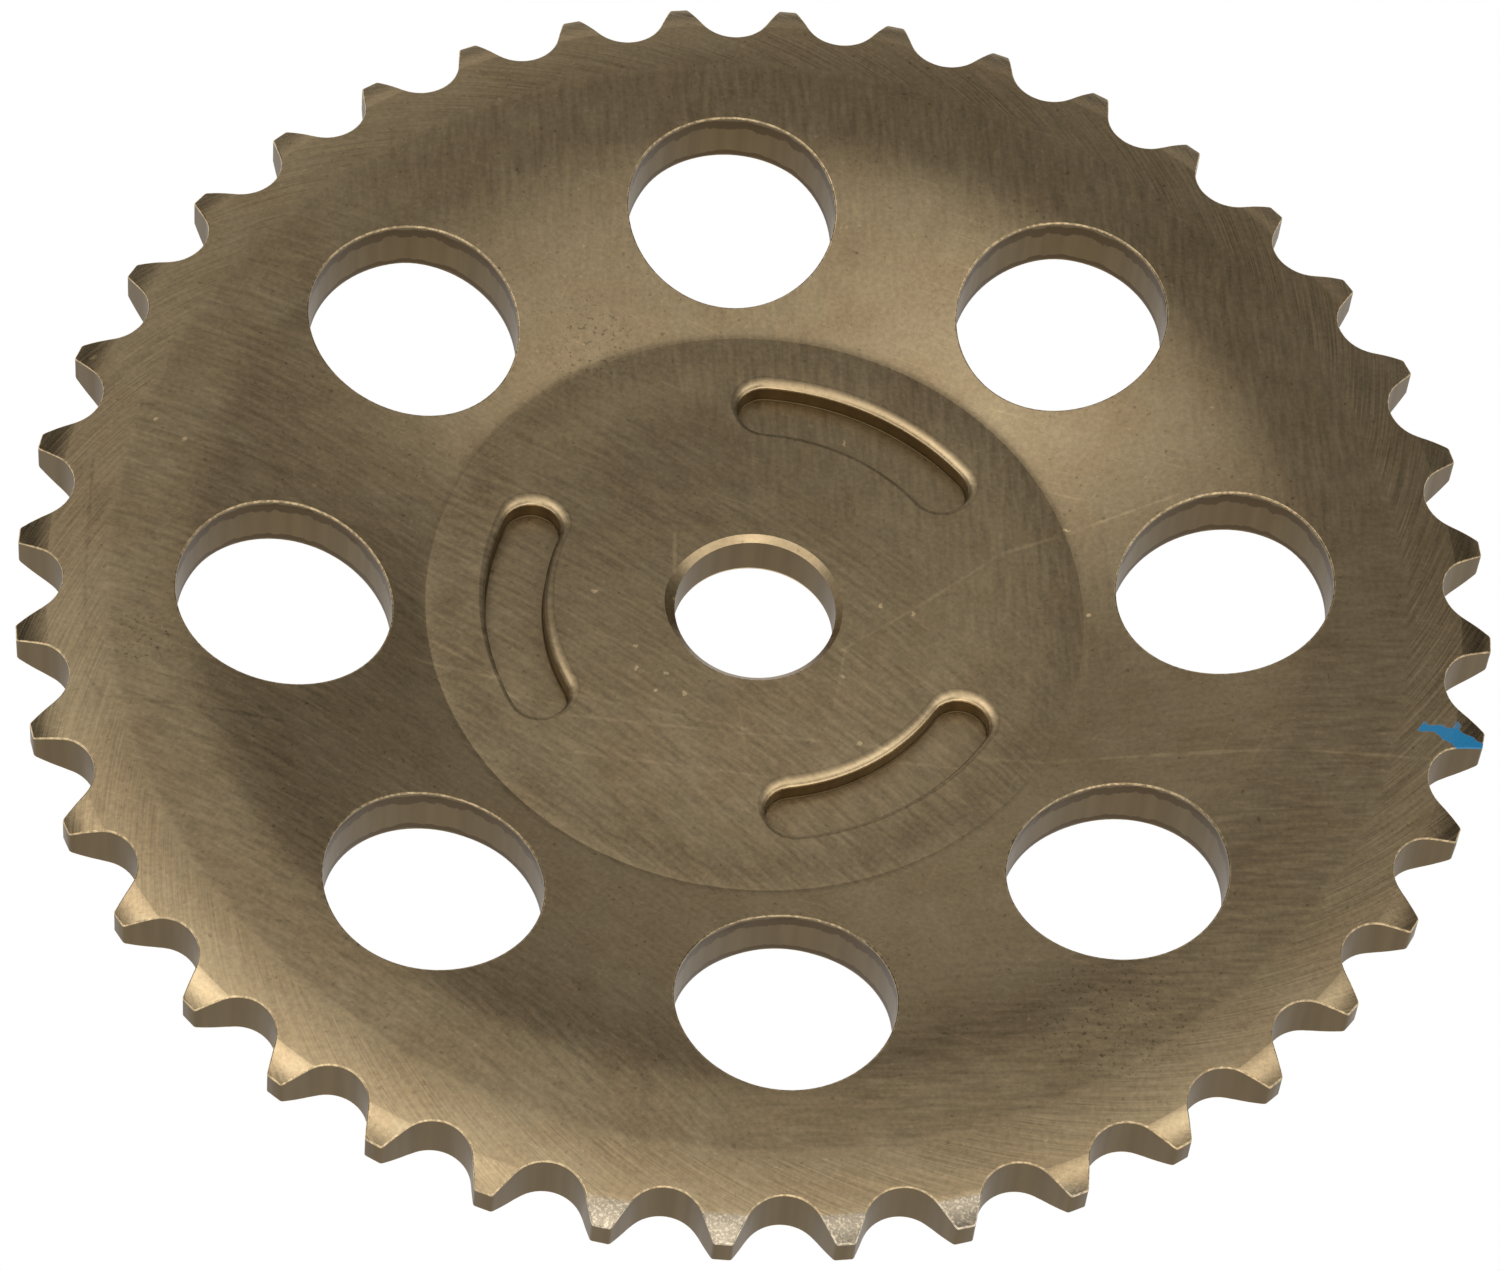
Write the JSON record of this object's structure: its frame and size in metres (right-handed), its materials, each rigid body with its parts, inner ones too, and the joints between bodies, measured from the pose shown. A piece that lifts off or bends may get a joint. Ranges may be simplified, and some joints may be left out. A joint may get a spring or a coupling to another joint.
{
  "type": "camshaft sprocket",
  "caption": "Flat steel chain sprocket for a camshaft, with a conical dished web, arc-shaped drive lugs, a central bore and a ring of lightening holes.",
  "frame": {"origin": "on the bore's axis at the chain line, the middle of the teeth's width", "axes": "+Z along the bore's axis, towards the front face with the sunk hub and arc recesses; +X through the centre of one lightening hole"},
  "size_m": [0.1228, 0.1228, 0.0107],
  "materials": {
    "steel": "satin, brownish, fine brushed lines"
  },
  "bodies": {
    "root": {"sprocket": "steel"}
  },
  "joints": []
}
